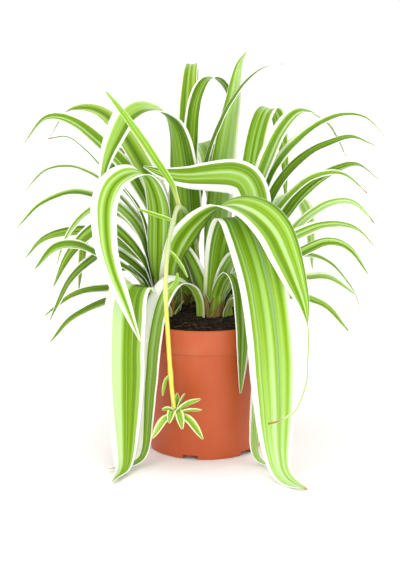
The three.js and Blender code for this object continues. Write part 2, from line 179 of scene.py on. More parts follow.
def leaf_material(name, greens, margin_colour, base_colour, roughness, vein_height, contrast):
    material, tree, shader = new_material(name, roughness, 1.42, 0.25)
    uv = add_node(tree, "ShaderNodeTexCoord").outputs["UV"]
    split = add_node(tree, "ShaderNodeSeparateXYZ", links={"Vector": uv})
    along, across = split.outputs["X"], split.outputs["Y"]
    seed = leaf_value(tree, "leaf_seed")

    # the green: broad bands of several strengths with fine streaks between them
    bands = stretched_noise(tree, along, across, seed, *BANDS)
    streaks = stretched_noise(tree, along, across, seed, *STREAKS)
    paler = math_node(tree, "ADD", bands, math_node(tree, "MULTIPLY", leaf_value(tree, "pale"), PALE_SHIFT))
    strength = between_values(tree, paler, 0.5 - BAND_SOFTNESS / contrast, 0.5 + BAND_SOFTNESS / contrast)
    green = ramp(tree, strength, greens)
    fine = between_values(tree, streaks, 0.52, 0.66)
    streaking = math_node(tree, "MULTIPLY", fine, STREAK_STRENGTH * contrast)
    green = mix_colours(tree, streaking, green, linear("c4dfae"))
    # painted shade: the green is multiplied darker by how much the leaf stands in shade among the others
    shadow = mix_colours(tree, leaf_value(tree, "painted_shade"), linear("ffffff"), linear("ccd25a"))
    green = mix_colours(tree, 1.0, green, shadow, "MULTIPLY")

    # the margins: how far a point is from the middle of the green, frayed by the same bands
    from_middle = math_node(tree, "SUBTRACT", across, leaf_value(tree, "green_middle"))
    off_middle = math_node(tree, "ABSOLUTE", from_middle, 0.0)
    frayed = math_node(tree, "ADD", math_node(tree, "MULTIPLY", off_middle, 2.0),
                       math_node(tree, "MULTIPLY", math_node(tree, "SUBTRACT", bands, 0.5), MARGIN_FRAY))
    past_green = math_node(tree, "SUBTRACT", frayed, leaf_value(tree, "green_half"))
    margin = between_values(tree, past_green, -0.02, 0.04)
    lines = math_node(tree, "MULTIPLY", between_values(tree, streaks, 0.57, 0.63), 0.55)
    cream = mix_colours(tree, lines, linear(margin_colour), linear("c3d9a2"))
    colour = mix_colours(tree, margin, green, cream)

    # the base is an olive sheath, and the tip of an old leaf is dry and brown
    sheath = between_values(tree, along, 0.2, 0.03, 0.0, SHEATH_STRENGTH)
    colour = mix_colours(tree, sheath, colour, linear(base_colour))
    drying = math_node(tree, "SUBTRACT", math_node(tree, "ADD", along, math_node(
        tree, "MULTIPLY", streaks, 0.04)), leaf_value(tree, "dry_from"))
    colour = mix_colours(tree, between_values(tree, drying, 0.0, 0.035), colour, linear("a5814a"))
    tree.links.new(colour, shader.inputs["Base Color"])
    tree.links.new(math_node(tree, "ADD", math_node(tree, "MULTIPLY", streaks, 0.14), roughness - 0.07),
                   shader.inputs["Roughness"])

    # parallel veins stand up a little from the skin
    veins = math_node(tree, "SINE", math_node(tree, "MULTIPLY", across, 2 * math.pi * VEINS), 0.0)
    bump = add_node(tree, "ShaderNodeBump", inputs={"Strength": 0.4, "Distance": vein_height},
                    links={"Height": veins})
    tree.links.new(bump.outputs["Normal"], shader.inputs["Normal"])
    shader.inputs["Subsurface Weight"].default_value = 0.45
    shader.inputs["Subsurface Radius"].default_value = (0.8, 1.0, 0.25)
    shader.inputs["Subsurface Scale"].default_value = 1.5 * MM
    return material


LEAF_TOP = leaf_material(
    "leaf_upper_skin",
    [(0.0, "5c8202"), (0.3, "719806"), (0.55, "8aae1c"), (0.8, "a5c962"), (1.0, "c6dfac")],
    "fbfcee", "8aa81e", 0.44, 0.10 * MM, 1.0)
LEAF_UNDER = leaf_material(
    "leaf_underside",
    [(0.0, "86a81e"), (0.5, "97ba30"), (1.0, "a8c84e")],
    "eef2d2", "8aa81e", 0.52, 0.2 * MM, 0.32)
print("veins across a leaf:", round(VEINS))


# %% [markdown]
# Every blade starts as one pattern: a flat grid one unit long and two wide, whose X runs along the leaf. A
# real blade is a shallow gutter with a keel under its midrib, deeper at the base, where it sheathes its
# neighbours. The rows are lifted by hand in edit mode, then the base is deepened with a soft falloff. A
# copy of this pattern is bent for each leaf, so all of them share the same clean rows of faces and the map.

# %% The pattern blade
ROWS_ALONG = 96
ROWS_ACROSS = 12
GUTTER_DEPTH = 0.24
KEEL_POWER = 1.25
BASE_GUTTER = 2.4


def deselect_all():
    bpy.ops.object.select_all(action="DESELECT")


def make_active(piece):
    deselect_all()
    piece.select_set(True)
    bpy.context.view_layer.objects.active = piece


def select_vertices(piece, wanted):
    """Selects the vertices that wanted(co) picks, and leaves the piece in edit mode."""
    bpy.ops.object.mode_set(mode="EDIT")
    bpy.ops.mesh.select_all(action="DESELECT")
    bpy.ops.object.mode_set(mode="OBJECT")
    for vertex in piece.data.vertices:
        vertex.select = wanted(vertex.co)
    bpy.ops.object.mode_set(mode="EDIT")
    bpy.ops.mesh.select_mode(type="VERT")


deselect_all()
bpy.ops.mesh.primitive_grid_add(x_subdivisions=ROWS_ALONG, y_subdivisions=ROWS_ACROSS, size=1,
                                location=(0.5, 0, 0))
pattern_blade = bpy.context.object
pattern_blade.name = "pattern_blade"
bpy.ops.object.transform_apply(location=True, rotation=False, scale=False)
bpy.ops.object.mode_set(mode="EDIT")
bpy.ops.mesh.select_all(action="SELECT")
bpy.ops.transform.resize(value=(1, 2, 1), center_override=(0, 0, 0))
bpy.ops.object.mode_set(mode="OBJECT")
for row in range(ROWS_ACROSS // 2 + 1):
    away = row / (ROWS_ACROSS // 2)
    select_vertices(pattern_blade, lambda co: abs(abs(co.y) - away) < 0.01)
    lift = GUTTER_DEPTH * (away ** KEEL_POWER - 0.5)
    bpy.ops.transform.translate(value=(0, 0, lift))
    bpy.ops.object.mode_set(mode="OBJECT")
select_vertices(pattern_blade, lambda co: co.x < 0.01)
bpy.ops.transform.resize(value=(1, 1, BASE_GUTTER), center_override=(0, 0, 0), use_proportional_edit=True,
                         proportional_edit_falloff="SMOOTH", proportional_size=0.3)
bpy.ops.object.mode_set(mode="OBJECT")
pattern_blade.hide_render = True
BLADE_SHARES = [vertex.co.x for vertex in pattern_blade.data.vertices]
print("pattern blade:", len(pattern_blade.data.polygons), "faces")


# %% [markdown]
# A leaf's midrib is a smooth curve through a few points, and a Curve modifier bends a copy of the pattern
# along it: the curve's radius gives the blade its width, and its tilt gives it its roll. The bend is
# made in the leaf's own upright plane, where X points outwards, and the leaf is then turned to its heading.
# A Displace modifier adds the gentle waves of a soft blade. Solidify gives it its thickness and lets the
# underside have its own skin. All three are applied, so each leaf is one plain mesh.

# %% Growing a blade along its midrib
STEPS_PER_SPAN = 8
BLADE_THICKNESS = 0.5 * MM
TIP_WIDTH = 1.2
FULL_WIDTH_AT = 0.36
PLAIN_TAPER = (0.5, 1)
WAVE_SIZE = 34 * MM
WAVE_HEIGHT = 2.2 * MM
waves = bpy.data.textures.new("leaf_waves", "CLOUDS")
waves.noise_scale = WAVE_SIZE


def smooth_path(points):
    """The points of a Catmull-Rom curve through the given ones, with straight ends."""
    ends = [2 * points[0] - points[1], *points, 2 * points[-1] - points[-2]]
    path = []
    for before, start, stop, after in zip(ends, ends[1:], ends[2:], ends[3:]):
        for step in range(STEPS_PER_SPAN):
            t = step / STEPS_PER_SPAN
            path.append(0.5 * (2 * start + (stop - before) * t
                               + (2 * before - 5 * start + 4 * stop - after) * t ** 2
                               + (3 * start - before - 3 * stop + after) * t ** 3))
    return path + [points[-1]]


def shares_along(path):
    lengths = [0.0]
    for start, stop in zip(path, path[1:]):
        lengths.append(lengths[-1] + (stop - start).length)
    return [length / lengths[-1] for length in lengths]


def between(values, share):
    """The value at a share of the length, from values spread evenly along it."""
    if len(values) == 1:
        return values[0]
    place = share * (len(values) - 1)
    i = min(int(place), len(values) - 2)
    return values[i] + (values[i + 1] - values[i]) * (place - i)


def strap_width(share, width, neck, withers):
    """A strap leaf's width in mm: a sheathing base, a long even blade and a fine tip."""
    t = min(share / FULL_WIDTH_AT, 1)
    swelling = neck + (width - neck) * t * t * (3 - 2 * t)
    start, stop = withers
    tapering = 1 - min(max((share - start) / (stop - start), 0), 1) ** 1.8
    return TIP_WIDTH + (swelling - TIP_WIDTH) * tapering


def shade(piece, top, under, look):
    """Gives a blade its two skins and keeps the look's numbers on it, spread along it if several."""
    piece.data.materials.append(top)
    piece.data.materials.append(under)
    rows = len(BLADE_SHARES)
    for name, value in look.items():
        values = value if isinstance(value, tuple) else (value,)
        attribute = piece.data.attributes.new(name, "FLOAT", "POINT")
        along = [between(values, BLADE_SHARES[i % rows]) for i in range(len(piece.data.vertices))]
        attribute.data.foreach_set("value", along)


def grow_blade(name, midrib, origin, heading, width, neck, roll, look, wave=1.0, top=LEAF_TOP,
               under=LEAF_UNDER, withers=PLAIN_TAPER):
    """A blade along midrib, in mm in its own plane, turned to heading degrees about origin, in mm."""
    path = smooth_path([Vector(point) * MM for point in midrib])
    shares = shares_along(path)
    curve = bpy.data.curves.new(name + "_midrib", "CURVE")
    curve.dimensions = "3D"
    curve.twist_mode = "MINIMUM"
    curve.use_stretch = True
    curve.use_deform_bounds = True
    spline = curve.splines.new("POLY")
    spline.points.add(len(path) - 1)
    for point, place, share in zip(spline.points, path, shares):
        point.co = (*place, 1)
        point.radius = strap_width(share, width, neck, withers) / 2 * MM
        point.tilt = math.radians(between(roll, share))
    rib = bpy.data.objects.new(name + "_midrib", curve)
    bpy.context.collection.objects.link(rib)

    piece = pattern_blade.copy()
    piece.data = pattern_blade.data.copy()
    piece.name = piece.data.name = name
    piece.hide_render = False
    bpy.context.collection.objects.link(piece)
    make_active(piece)
    bend = piece.modifiers.new("bend", "CURVE")
    bend.object = rib
    bpy.ops.object.modifier_apply(modifier="bend")
    bpy.data.objects.remove(rib)
    bpy.data.curves.remove(curve)

    piece.rotation_euler.z = math.radians(heading)
    piece.location = Vector(origin) * MM
    bpy.ops.object.transform_apply(location=True, rotation=True, scale=True)
    ripple = piece.modifiers.new("ripple", "DISPLACE")
    ripple.texture = waves
    ripple.texture_coords = "LOCAL"
    ripple.strength = WAVE_HEIGHT * wave
    bpy.ops.object.modifier_apply(modifier="ripple")
    skin = piece.modifiers.new("skin", "SOLIDIFY")
    skin.thickness = BLADE_THICKNESS
    skin.offset = 0
    skin.material_offset = 1
    bpy.ops.object.modifier_apply(modifier="skin")
    shade(piece, top, under, look)
    bpy.ops.object.shade_smooth()
    return piece


# %% [markdown]
# The leaves grow from four crowns, the short rootstocks that a division of the plant fills a pot with. Each
# row gives a leaf's heading in degrees from +X, its width, its ring on the crown and its midrib as distance
# out from the crown, height and, where it drifts, distance to the left. Some rows also give a shift to the
# left, the roll in degrees along the leaf, and the shares of the length between which it withers.

# %% The layout of the leaves
CROWNS = {"left": (-32, -8), "main": (6, -14), "right": (26, 22), "rear": (-18, 28)}
CROWN_RADIUS = 16
CROWN_RINGS = 9
CROWN_TOP = 118
LEAVES = {
    "left": [
        {"heading": 241, "width": 33, "ring": 9, "shift": -3,
         "midrib": [(26, 130, 2), (48, 143, 5), (60, 131, 5), (64, 98, 5), (65, 60, 5), (65, 20, 5),
                    (74, 4, 9), (100, 3, 16)]},
        {"heading": 222, "width": 23, "ring": 1, "roll": (0, 35, 15, -20, -30, -30),
         "midrib": [(11, 148, 5), (12, 190, 7), (19, 212, 10), (29, 226, 11), (43, 228, 10), (57, 221, 8),
                    (65, 207, 8), (69, 190, 12), (71, 173, 17), (71, 155, 25), (70, 138, 35), (68, 117, 46),
                    (67, 108, 51)]},
        {"heading": 322, "width": 31, "ring": 3, "withers": (0.45, 0.73), "roll": (0, -40, 5, 40, 45, 45),
         "midrib": [(11, 145, -6), (19, 166, -6), (32, 184, -6), (45, 197, -3), (58, 204), (74, 205),
                    (91, 200), (106, 188), (117, 170), (126, 152), (134, 134), (138, 115), (139, 96, -2),
                    (140, 78, -5), (137, 59, -14), (130, 52, -24), (124, 50, -31)]},
        {"heading": 170, "width": 16, "ring": 3, "roll": (0, 10, 20),
         "midrib": [(17, 184), (34, 212), (50, 228), (62, 240), (77, 250), (93, 248)]},
        {"heading": 176, "width": 17, "ring": 4, "roll": (0, -15, -30),
         "midrib": [(17, 170), (36, 195), (51, 196), (67, 186), (79, 168), (86, 148)]},
        {"heading": 192, "width": 18, "ring": 5, "roll": (0, -25, -40),
         "midrib": [(17, 153), (33, 174), (46, 182), (60, 177), (76, 159), (88, 136)]},
        {"heading": 206, "width": 16, "ring": 7, "roll": (0, -20, -35),
         "midrib": [(28, 146), (57, 163), (75, 172), (92, 171), (108, 156)]},
        {"heading": 182, "width": 18, "ring": 6, "roll": (0, -15, -30),
         "midrib": [(15, 140), (31, 155), (43, 160), (56, 155), (75, 137), (91, 105)]},
        {"heading": 158, "width": 12, "ring": 8, "roll": (0, -25),
         "midrib": [(14, 133), (22, 142), (32, 144), (42, 137), (50, 123)]},
        {"heading": 194, "width": 12, "ring": 9, "roll": (0, -20),
         "midrib": [(28, 127), (48, 122), (74, 110), (92, 92)]},
    ],
    "main": [
        {"heading": 213, "width": 22, "ring": 9, "shift": 3,
         "midrib": [(24, 138, 1), (41, 143, 4), (54, 128, 5), (62, 94, 5), (66, 50, 5), (69, 14, 5),
                    (78, 4, 5), (102, 3, 5)]},
        {"heading": 303, "width": 36, "ring": 2, "withers": (0.62, 1), "roll": (0, 0, 30, 33, 33, 20),
         "midrib": [(12, 164), (25, 192), (38, 194), (50, 182), (62, 163), (72, 140), (80, 108), (85, 64),
                    (89, 20), (100, 4), (128, 3)]},
        {"heading": 299, "width": 16, "ring": 6,
         "midrib": [(12, 130), (22, 144), (33, 150), (43, 143), (49, 120), (48, 90), (45, 57)]},
        {"heading": 310, "width": 21, "ring": 4,
         "midrib": [(17, 150), (33, 166), (48, 155), (58, 118), (58, 82), (54, 50), (50, 18), (56, 4),
                    (74, 3)]},
        {"heading": 168, "width": 22, "ring": 5, "roll": (0, 50, 40, 0),
         "midrib": [(10, 134), (15, 148), (22, 161), (30, 168), (38, 166), (44, 156)]},
        {"heading": 68, "width": 24, "ring": 4, "shift": 6, "roll": (0, -10, -20),
         "midrib": [(20, 136), (45, 180, 6), (59, 228, 6), (66, 270, 2), (74, 300), (92, 312)]},
        {"heading": 15, "width": 15, "ring": 6, "shift": 2, "roll": (0, 20, 35),
         "midrib": [(35, 153), (71, 171), (96, 178), (119, 175), (139, 157)]},
        {"heading": 2, "width": 14, "ring": 8, "roll": (0, 20, 35),
         "midrib": [(36, 141), (70, 160), (92, 168), (109, 162), (124, 142)]},
        {"heading": 346, "width": 12, "ring": 9, "roll": (0, 20, 30),
         "midrib": [(40, 128), (70, 129), (92, 122), (109, 104)]},
    ],
    "right": [
        {"heading": 203, "width": 30, "ring": 2, "roll": (0, -60, -85, -90, -90, -80),
         "midrib": [(2, 147, 12), (-2, 170, 18), (-5, 190, 19), (-4, 204, 18), (1, 214, 16), (9, 218, 14),
                    (18, 219, 12), (31, 219, 10), (47, 219, 8), (65, 222, 6), (82, 229, 5)]},
        {"heading": 24, "width": 22, "ring": 3, "roll": (0, 15),
         "midrib": [(14, 189), (29, 233), (45, 258), (61, 266), (84, 254), (102, 225)]},
        {"heading": 10, "width": 14, "ring": 4, "roll": (0, 15, 25),
         "midrib": [(15, 172), (28, 216), (47, 242), (77, 262), (104, 262), (122, 246)]},
        {"heading": 15, "width": 13, "ring": 5, "roll": (0, 15, 30),
         "midrib": [(16, 160), (28, 195), (44, 219), (62, 233), (80, 241), (98, 245), (118, 237)]},
        {"heading": 4, "width": 12, "ring": 6, "roll": (0, 15, 30),
         "midrib": [(17, 152), (31, 185), (49, 206), (65, 216), (86, 217), (106, 201)]},
        {"heading": 22, "width": 15, "ring": 7, "roll": (0, 15, 30),
         "midrib": [(20, 150), (46, 185), (62, 201), (86, 216), (109, 220), (130, 206)]},
        {"heading": 0, "width": 14, "ring": 8, "roll": (0, 20, 35),
         "midrib": [(24, 142), (46, 171), (63, 187), (78, 195), (95, 194), (111, 178)]},
        {"heading": 18, "width": 13, "ring": 9, "roll": (0, 15, 30),
         "midrib": [(35, 138), (57, 148), (81, 141), (101, 119), (112, 95)]},
        {"heading": 348, "width": 12, "ring": 9, "roll": (0, 20, 30),
         "midrib": [(30, 129), (58, 136), (78, 136), (99, 122)]},
        {"heading": 68, "width": 18, "ring": 7, "shift": -2,
         "midrib": [(14, 170), (36, 232), (62, 262), (92, 258), (112, 222), (118, 178)]},
        {"heading": 110, "width": 20, "ring": 5, "shift": 5,
         "midrib": [(20, 167), (44, 216), (72, 236), (102, 218), (116, 172), (118, 120)]},
        {"heading": 52, "width": 20, "ring": 9,
         "midrib": [(26, 150), (54, 182), (82, 190), (104, 168), (112, 122)]},
    ],
    "rear": [
        {"heading": 150, "width": 23, "ring": 2, "roll": (0, -15, -25),
         "midrib": [(15, 178), (42, 228), (66, 256), (88, 266), (112, 262), (130, 240)]},
        {"heading": 172, "width": 23, "ring": 3, "roll": (0, -15, -30),
         "midrib": [(18, 171), (43, 216), (67, 241), (90, 258), (112, 260), (130, 240)]},
        {"heading": 185, "width": 14, "ring": 5, "roll": (0, 15, 25),
         "midrib": [(26, 168), (50, 199), (66, 214), (88, 224), (109, 222), (126, 206)]},
        {"heading": 193, "width": 13, "ring": 6, "roll": (0, -15, -30),
         "midrib": [(27, 159), (51, 188), (72, 202), (92, 205), (116, 196), (134, 178)]},
        {"heading": 180, "width": 16, "ring": 8, "roll": (0, -20, -35),
         "midrib": [(24, 139), (51, 160), (73, 169), (90, 170), (112, 164), (128, 148)]},
        {"heading": 190, "width": 11, "ring": 9, "roll": (0, -20, -30),
         "midrib": [(27, 124), (64, 125), (91, 120), (113, 104)]},
        {"heading": 85, "width": 16, "ring": 5,
         "midrib": [(16, 168), (32, 226), (48, 272), (74, 298), (104, 292), (124, 258)]},
        {"heading": 55, "width": 16, "ring": 3,
         "midrib": [(8, 176), (12, 236), (20, 276), (38, 292), (62, 284), (80, 254)]},
        {"heading": 215, "width": 32, "ring": 1, "shift": 3, "roll": (10, 35, 0, -30, -40),
         "midrib": [(0, 179), (3, 229), (9, 257), (22, 270), (38, 274), (52, 269), (62, 257), (72, 238),
                    (80, 210)]},
        {"heading": 125, "width": 20, "ring": 7,
         "midrib": [(20, 165), (46, 208), (76, 230), (104, 218), (122, 180), (126, 134)]},
        {"heading": 102, "width": 18, "ring": 9,
         "midrib": [(22, 148), (46, 180), (70, 188), (90, 166), (98, 122), (100, 76)]},
        {"heading": 15, "width": 12, "ring": 5,
         "midrib": [(12, 172), (20, 222), (32, 256), (48, 284), (66, 300), (84, 304)]},
        {"heading": 140, "width": 18, "ring": 9,
         "midrib": [(26, 144), (56, 172), (86, 174), (110, 150), (120, 104)]},
    ],
}

# %% The leaves
BURIED = 9
STRAIGHT = 7
SHEATH_WIDTH = 12
SHEATH_SHARE = 0.5


def leaf_midrib(leaf):
    """The leaf's midrib in its own plane: out of the crown, straight up, then through its points."""
    out = CROWN_RADIUS * (leaf["ring"] - 0.5) / CROWN_RINGS
    shift = leaf.get("shift", 0)
    path = [(out - 0.6, shift, CROWN_TOP - BURIED), (out + 1, shift, CROWN_TOP + STRAIGHT)]
    for point in leaf["midrib"]:
        drift = point[2] if len(point) > 2 else 0
        path.append((point[0], shift + drift, max(point[1], 1)))
    return path


# How the green lies on the leaves that are seen best, and how much painted shade darkens them, where it
# differs from the others.
LOOKS = {
    "left_leaf_01": {"green_half": 0.74, "pale": 0.4, "painted_shade": 0.25},
    "left_leaf_02": {"green_half": (0.92, 0.9, 0.72, 0.5, 0.45), "green_middle": 0.52, "pale": 0.0,
                     "painted_shade": 0.0},
    "left_leaf_03": {"green_half": (0.84, 0.84, 0.84, 0.84, 0.9), "green_middle": 0.56, "painted_shade": 0.1,
                     "pale": (0.0, 0.0, 0.0, 0.1, 0.9), "dry_from": 0.97},
    "main_leaf_01": {"green_half": 0.5, "green_middle": 0.64, "pale": 0.0, "painted_shade": 0.2},
    "main_leaf_02": {"green_half": 0.8, "green_middle": 0.56, "pale": (0.0, -0.2, 0.4, 0.9), "painted_shade": 0.0},
    "main_leaf_03": {"green_half": (0.94, 0.8, 0.7, 0.7), "pale": 0.0, "painted_shade": 0.4},
    "main_leaf_05": {"pale": -0.3, "painted_shade": 0.5},
    "main_leaf_06": {"green_half": 0.8, "pale": 0.3, "painted_shade": 0.4},
    "right_leaf_01": {"green_half": 0.62, "green_middle": 0.41, "pale": 0.1, "painted_shade": 0.1},
    "rear_leaf_09": {"green_half": (0.9, 0.86, 0.7, 0.6), "pale": -0.3, "painted_shade": (0.4, 0.3, 0.1)},
}

# How much painted shade darkens the leaves of each crown, as the rear ones stand in shade behind the others.
SHADE = {"left": (0.2, 0.8), "main": (0.0, 0.5), "right": (0.0, 0.6), "rear": (0.4, 1.0)}

BASE_GREEN_HALF = 0.94

leaf_blades = []
for crown, leaves in LEAVES.items():
    for number, leaf in enumerate(leaves, 1):
        name = f"{crown}_leaf_{number:02d}"
        green_half = random.uniform(0.68, 0.86)
        look = {
            "leaf_seed": random.random(),
            "green_half": (BASE_GREEN_HALF, green_half, green_half, green_half),
            "green_middle": random.uniform(0.45, 0.55),
            "dry_from": random.uniform(0.97, 1.08),
            "painted_shade": random.uniform(*SHADE[crown]),
            "pale": random.uniform(-0.4, 0.5),
        }
        look.update(LOOKS.get(name, {}))
        neck = max(SHEATH_WIDTH, SHEATH_SHARE * leaf["width"])
        blade = grow_blade(name + "_blade", leaf_midrib(leaf), (*CROWNS[crown], 0), leaf["heading"],
                           leaf["width"], neck, leaf.get("roll", (0,)), look,
                           withers=leaf.get("withers", PLAIN_TAPER))
        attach(blade, "root")
        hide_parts(name)
        leaf_blades.append(blade)
print("leaves:", len(leaf_blades), "faces in each:", len(leaf_blades[0].data.polygons))


# %% [markdown]
# The pot is injection-moulded in terracotta-coloured plastic: a thin tapered shell with a deep rim band to
# grip it by, a small step beneath the band and slots where the wall meets the floor, so that water can run
# out. It is drawn as a ring that is extruded and scaled up the outside, over the lip and down the inside.

# %% The pot
POT_HEIGHT = 108
POT_SIDES = 128
WALL = 1.6
FLOOR = 2
BASE_RADIUS = 46.5
NECK_RADIUS = 56.4
RIM_RADIUS = 60
BAND_BOTTOM = 88
BAND_STEP = 1.5
SLOTS = 6
SLOT_SIZE = (14, 12, 7.2)
FIRST_SLOT = 256


def turned(name, profile, sides):
    """A hollow turned body: a ring taken through (radius, height) pairs in mm and closed at both ends."""
    deselect_all()
    radius, height = profile[0]
    bpy.ops.mesh.primitive_circle_add(vertices=sides, radius=radius * MM, location=(0, 0, 0))
    piece = bpy.context.object
    piece.name = piece.data.name = name
    bpy.ops.object.mode_set(mode="EDIT")
    bpy.ops.mesh.select_all(action="SELECT")
    bpy.ops.transform.translate(value=(0, 0, height * MM))
    bpy.ops.mesh.edge_face_add()
    for next_radius, next_height in profile[1:]:
        rise = (next_height - height) * MM
        bpy.ops.mesh.extrude_region_move(TRANSFORM_OT_translate={"value": (0, 0, rise)})
        grow = next_radius / radius
        bpy.ops.transform.resize(value=(grow, grow, 1), center_override=(0, 0, next_height * MM))
        radius, height = next_radius, next_height
    bpy.ops.mesh.select_all(action="SELECT")
    bpy.ops.mesh.normals_make_consistent(inside=False)
    bpy.ops.object.mode_set(mode="OBJECT")
    return piece


def apply_modifier(piece, kind, **settings):
    """Adds a modifier with its settings and applies it at once."""
    make_active(piece)
    modifier = piece.modifiers.new(kind.lower(), kind)
    for name, value in settings.items():
        setattr(modifier, name, value)
    bpy.ops.object.modifier_apply(modifier=modifier.name)


pot = turned("plant_pot", [
    (BASE_RADIUS - 1.5, 0), (BASE_RADIUS - 0.4, 0.4), (BASE_RADIUS, 1.5), (NECK_RADIUS, BAND_BOTTOM - 0.4),
    (NECK_RADIUS + 0.1, BAND_BOTTOM), (NECK_RADIUS + BAND_STEP - 0.4, BAND_BOTTOM),
    (NECK_RADIUS + BAND_STEP, BAND_BOTTOM + 0.5), (RIM_RADIUS, POT_HEIGHT - 1.2),
    (RIM_RADIUS - 0.1, POT_HEIGHT - 0.4), (RIM_RADIUS - 0.6, POT_HEIGHT),
    (RIM_RADIUS - WALL, POT_HEIGHT), (RIM_RADIUS - WALL - 0.4, POT_HEIGHT - 0.4),
    (NECK_RADIUS + BAND_STEP - WALL, BAND_BOTTOM + BAND_STEP), (NECK_RADIUS - WALL, BAND_BOTTOM),
    (BASE_RADIUS - WALL, FLOOR),
], POT_SIDES)
for i in range(SLOTS):
    turn = math.radians(FIRST_SLOT + 360 * i / SLOTS)
    deselect_all()
    bpy.ops.mesh.primitive_cube_add(size=1, location=(BASE_RADIUS * math.cos(turn) * MM,
                                                      BASE_RADIUS * math.sin(turn) * MM, 0),
                                    rotation=(0, 0, turn), scale=[s * MM for s in SLOT_SIZE])
    cutter = bpy.context.object
    apply_modifier(pot, "BOOLEAN", object=cutter, operation="DIFFERENCE", solver="EXACT")
    bpy.data.objects.remove(cutter)
make_active(pot)
bpy.ops.object.shade_smooth_by_angle(angle=math.radians(32))
print("pot:", len(pot.data.polygons), "faces")


# %% [markdown]
# Terracotta-coloured polypropylene has an even pigment, a soft satin sheen and the faint unevenness of a
# moulded skin. Watering leaves a thin chalky bloom in faint patches.

# %% The pot's material
POT_MATERIAL, tree, shader = new_material("terracotta_plastic", 0.42, 1.49)
place = add_node(tree, "ShaderNodeTexCoord").outputs["Object"]
cloud = add_node(tree, "ShaderNodeTexNoise", inputs={"Scale": 22.0, "Detail": 4.0},
                 links={"Vector": place}).outputs["Fac"]
grain = add_node(tree, "ShaderNodeTexNoise", inputs={"Scale": 900.0, "Detail": 2.0},
                 links={"Vector": place}).outputs["Fac"]
skin = ramp(tree, cloud, [(0.3, "b24c20"), (0.7, "bd5529")])
bloom = add_node(tree, "ShaderNodeMapRange", inputs={"From Min": 0.62, "From Max": 0.8, "To Max": 0.22},
                 links={"Value": cloud}).outputs["Result"]
tree.links.new(mix_colours(tree, bloom, skin, linear("c08160")), shader.inputs["Base Color"])
rough = add_node(tree, "ShaderNodeMapRange", inputs={"To Min": 0.36, "To Max": 0.52},
                 links={"Value": cloud}).outputs["Result"]
tree.links.new(rough, shader.inputs["Roughness"])
bump = add_node(tree, "ShaderNodeBump", inputs={"Strength": 0.12, "Distance": 0.1 * MM},
                links={"Height": grain})
tree.links.new(bump.outputs["Normal"], shader.inputs["Normal"])
pot.data.materials.append(POT_MATERIAL)


def stands_for(piece, node):
    """The piece rides on the plant's one body, and takes the place of a CAD node."""
    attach(piece, "root")
    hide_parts(node)


stands_for(pot, "pot")


# %% [markdown]
# Potting compost is a crumbly mix of peat, bark and fibres. It stands a little below the rim at the wall
# and is heaped where the crowns were planted. The heap is the top of a flattened sphere, roughened at two
# scales, and strewn with loose crumbs and short fibres that catch the light.

# %% The compost
COMPOST_EDGE = 99
COMPOST_TOP = 113
COMPOST_RADIUS = 56.3
HEAP_BASE = COMPOST_EDGE - 1.5
HEAP_HEIGHT = COMPOST_TOP - HEAP_BASE
CRUMBS = 420
FIBRES = 45

deselect_all()
bpy.ops.mesh.primitive_uv_sphere_add(segments=120, ring_count=120, radius=1, location=(0, 0, 0))
compost = bpy.context.object
compost.name = compost.data.name = "compost_heap"
bpy.ops.object.mode_set(mode="EDIT")
bpy.ops.mesh.select_all(action="SELECT")
bpy.ops.transform.resize(value=(COMPOST_RADIUS * MM, COMPOST_RADIUS * MM, HEAP_HEIGHT * MM))
bpy.ops.transform.translate(value=(0, 0, HEAP_BASE * MM))
bpy.ops.mesh.select_all(action="SELECT")
bpy.ops.mesh.bisect(plane_co=(0, 0, (COMPOST_EDGE - 1.4) * MM), plane_no=(0, 0, 1), use_fill=True,
                    clear_inner=True)
bpy.ops.object.mode_set(mode="OBJECT")
for size, height in ((9, 2.6), (3, 1.6)):
    lumps = bpy.data.textures.new("compost_lumps", "CLOUDS")
    lumps.noise_scale = size * MM
    apply_modifier(compost, "DISPLACE", texture=lumps, texture_coords="LOCAL", strength=height * MM,
                   direction="Z", mid_level=0.5)


def heap_height(x, y):
    """The compost's mean height in mm at a place."""
    share = min(math.hypot(x, y) / COMPOST_RADIUS, 1)
    return HEAP_BASE + HEAP_HEIGHT * math.sqrt(1 - share * share)


def scattered(count, make, reach):
    """Copies of small shapes at random places on the heap."""
    made = []
    for _ in range(count):
        out = reach * math.sqrt(random.random())
        turn = random.uniform(0, 2 * math.pi)
        x, y = out * math.cos(turn), out * math.sin(turn)
        made.append(make(Vector((x, y, heap_height(x, y)))))
    return made


deselect_all()
bpy.ops.mesh.primitive_ico_sphere_add(subdivisions=1, radius=1, location=(0, 0, 0))
pattern_crumb = bpy.context.object
pattern_crumb.name = "pattern_crumb"
bpy.ops.object.mode_set(mode="EDIT")
bpy.ops.mesh.select_all(action="SELECT")
bpy.ops.transform.vertex_random(offset=0.28, uniform=0.2, seed=4)
bpy.ops.object.mode_set(mode="OBJECT")

deselect_all()
bpy.ops.mesh.primitive_cylinder_add(vertices=5, radius=1, depth=2, location=(0, 0, 0))
pattern_fibre = bpy.context.object
pattern_fibre.name = "pattern_fibre"


def copy_of(pattern, location, turn, scale):
    piece = pattern.copy()
    piece.data = pattern.data.copy()
    bpy.context.collection.objects.link(piece)
    piece.location = location
    piece.rotation_euler = turn
    piece.scale = scale
    return piece


def crumb(place):
    size = random.choice((0.7, 1.0, 1.3, 1.8, 2.4))
    turn = [random.uniform(0, 6.3) for _ in range(3)]
    return copy_of(pattern_crumb, place * MM, turn, [size * MM, size * 0.8 * MM, size * 0.6 * MM])


def fibre(place):
    turn = [math.pi / 2 + random.uniform(-0.25, 0.25), random.uniform(-0.3, 0.3), random.uniform(0, 6.3)]
    length = random.uniform(2, 6)
    return copy_of(pattern_fibre, (place + Vector((0, 0, 1))) * MM, turn, [0.3 * MM, 0.3 * MM, length * MM])


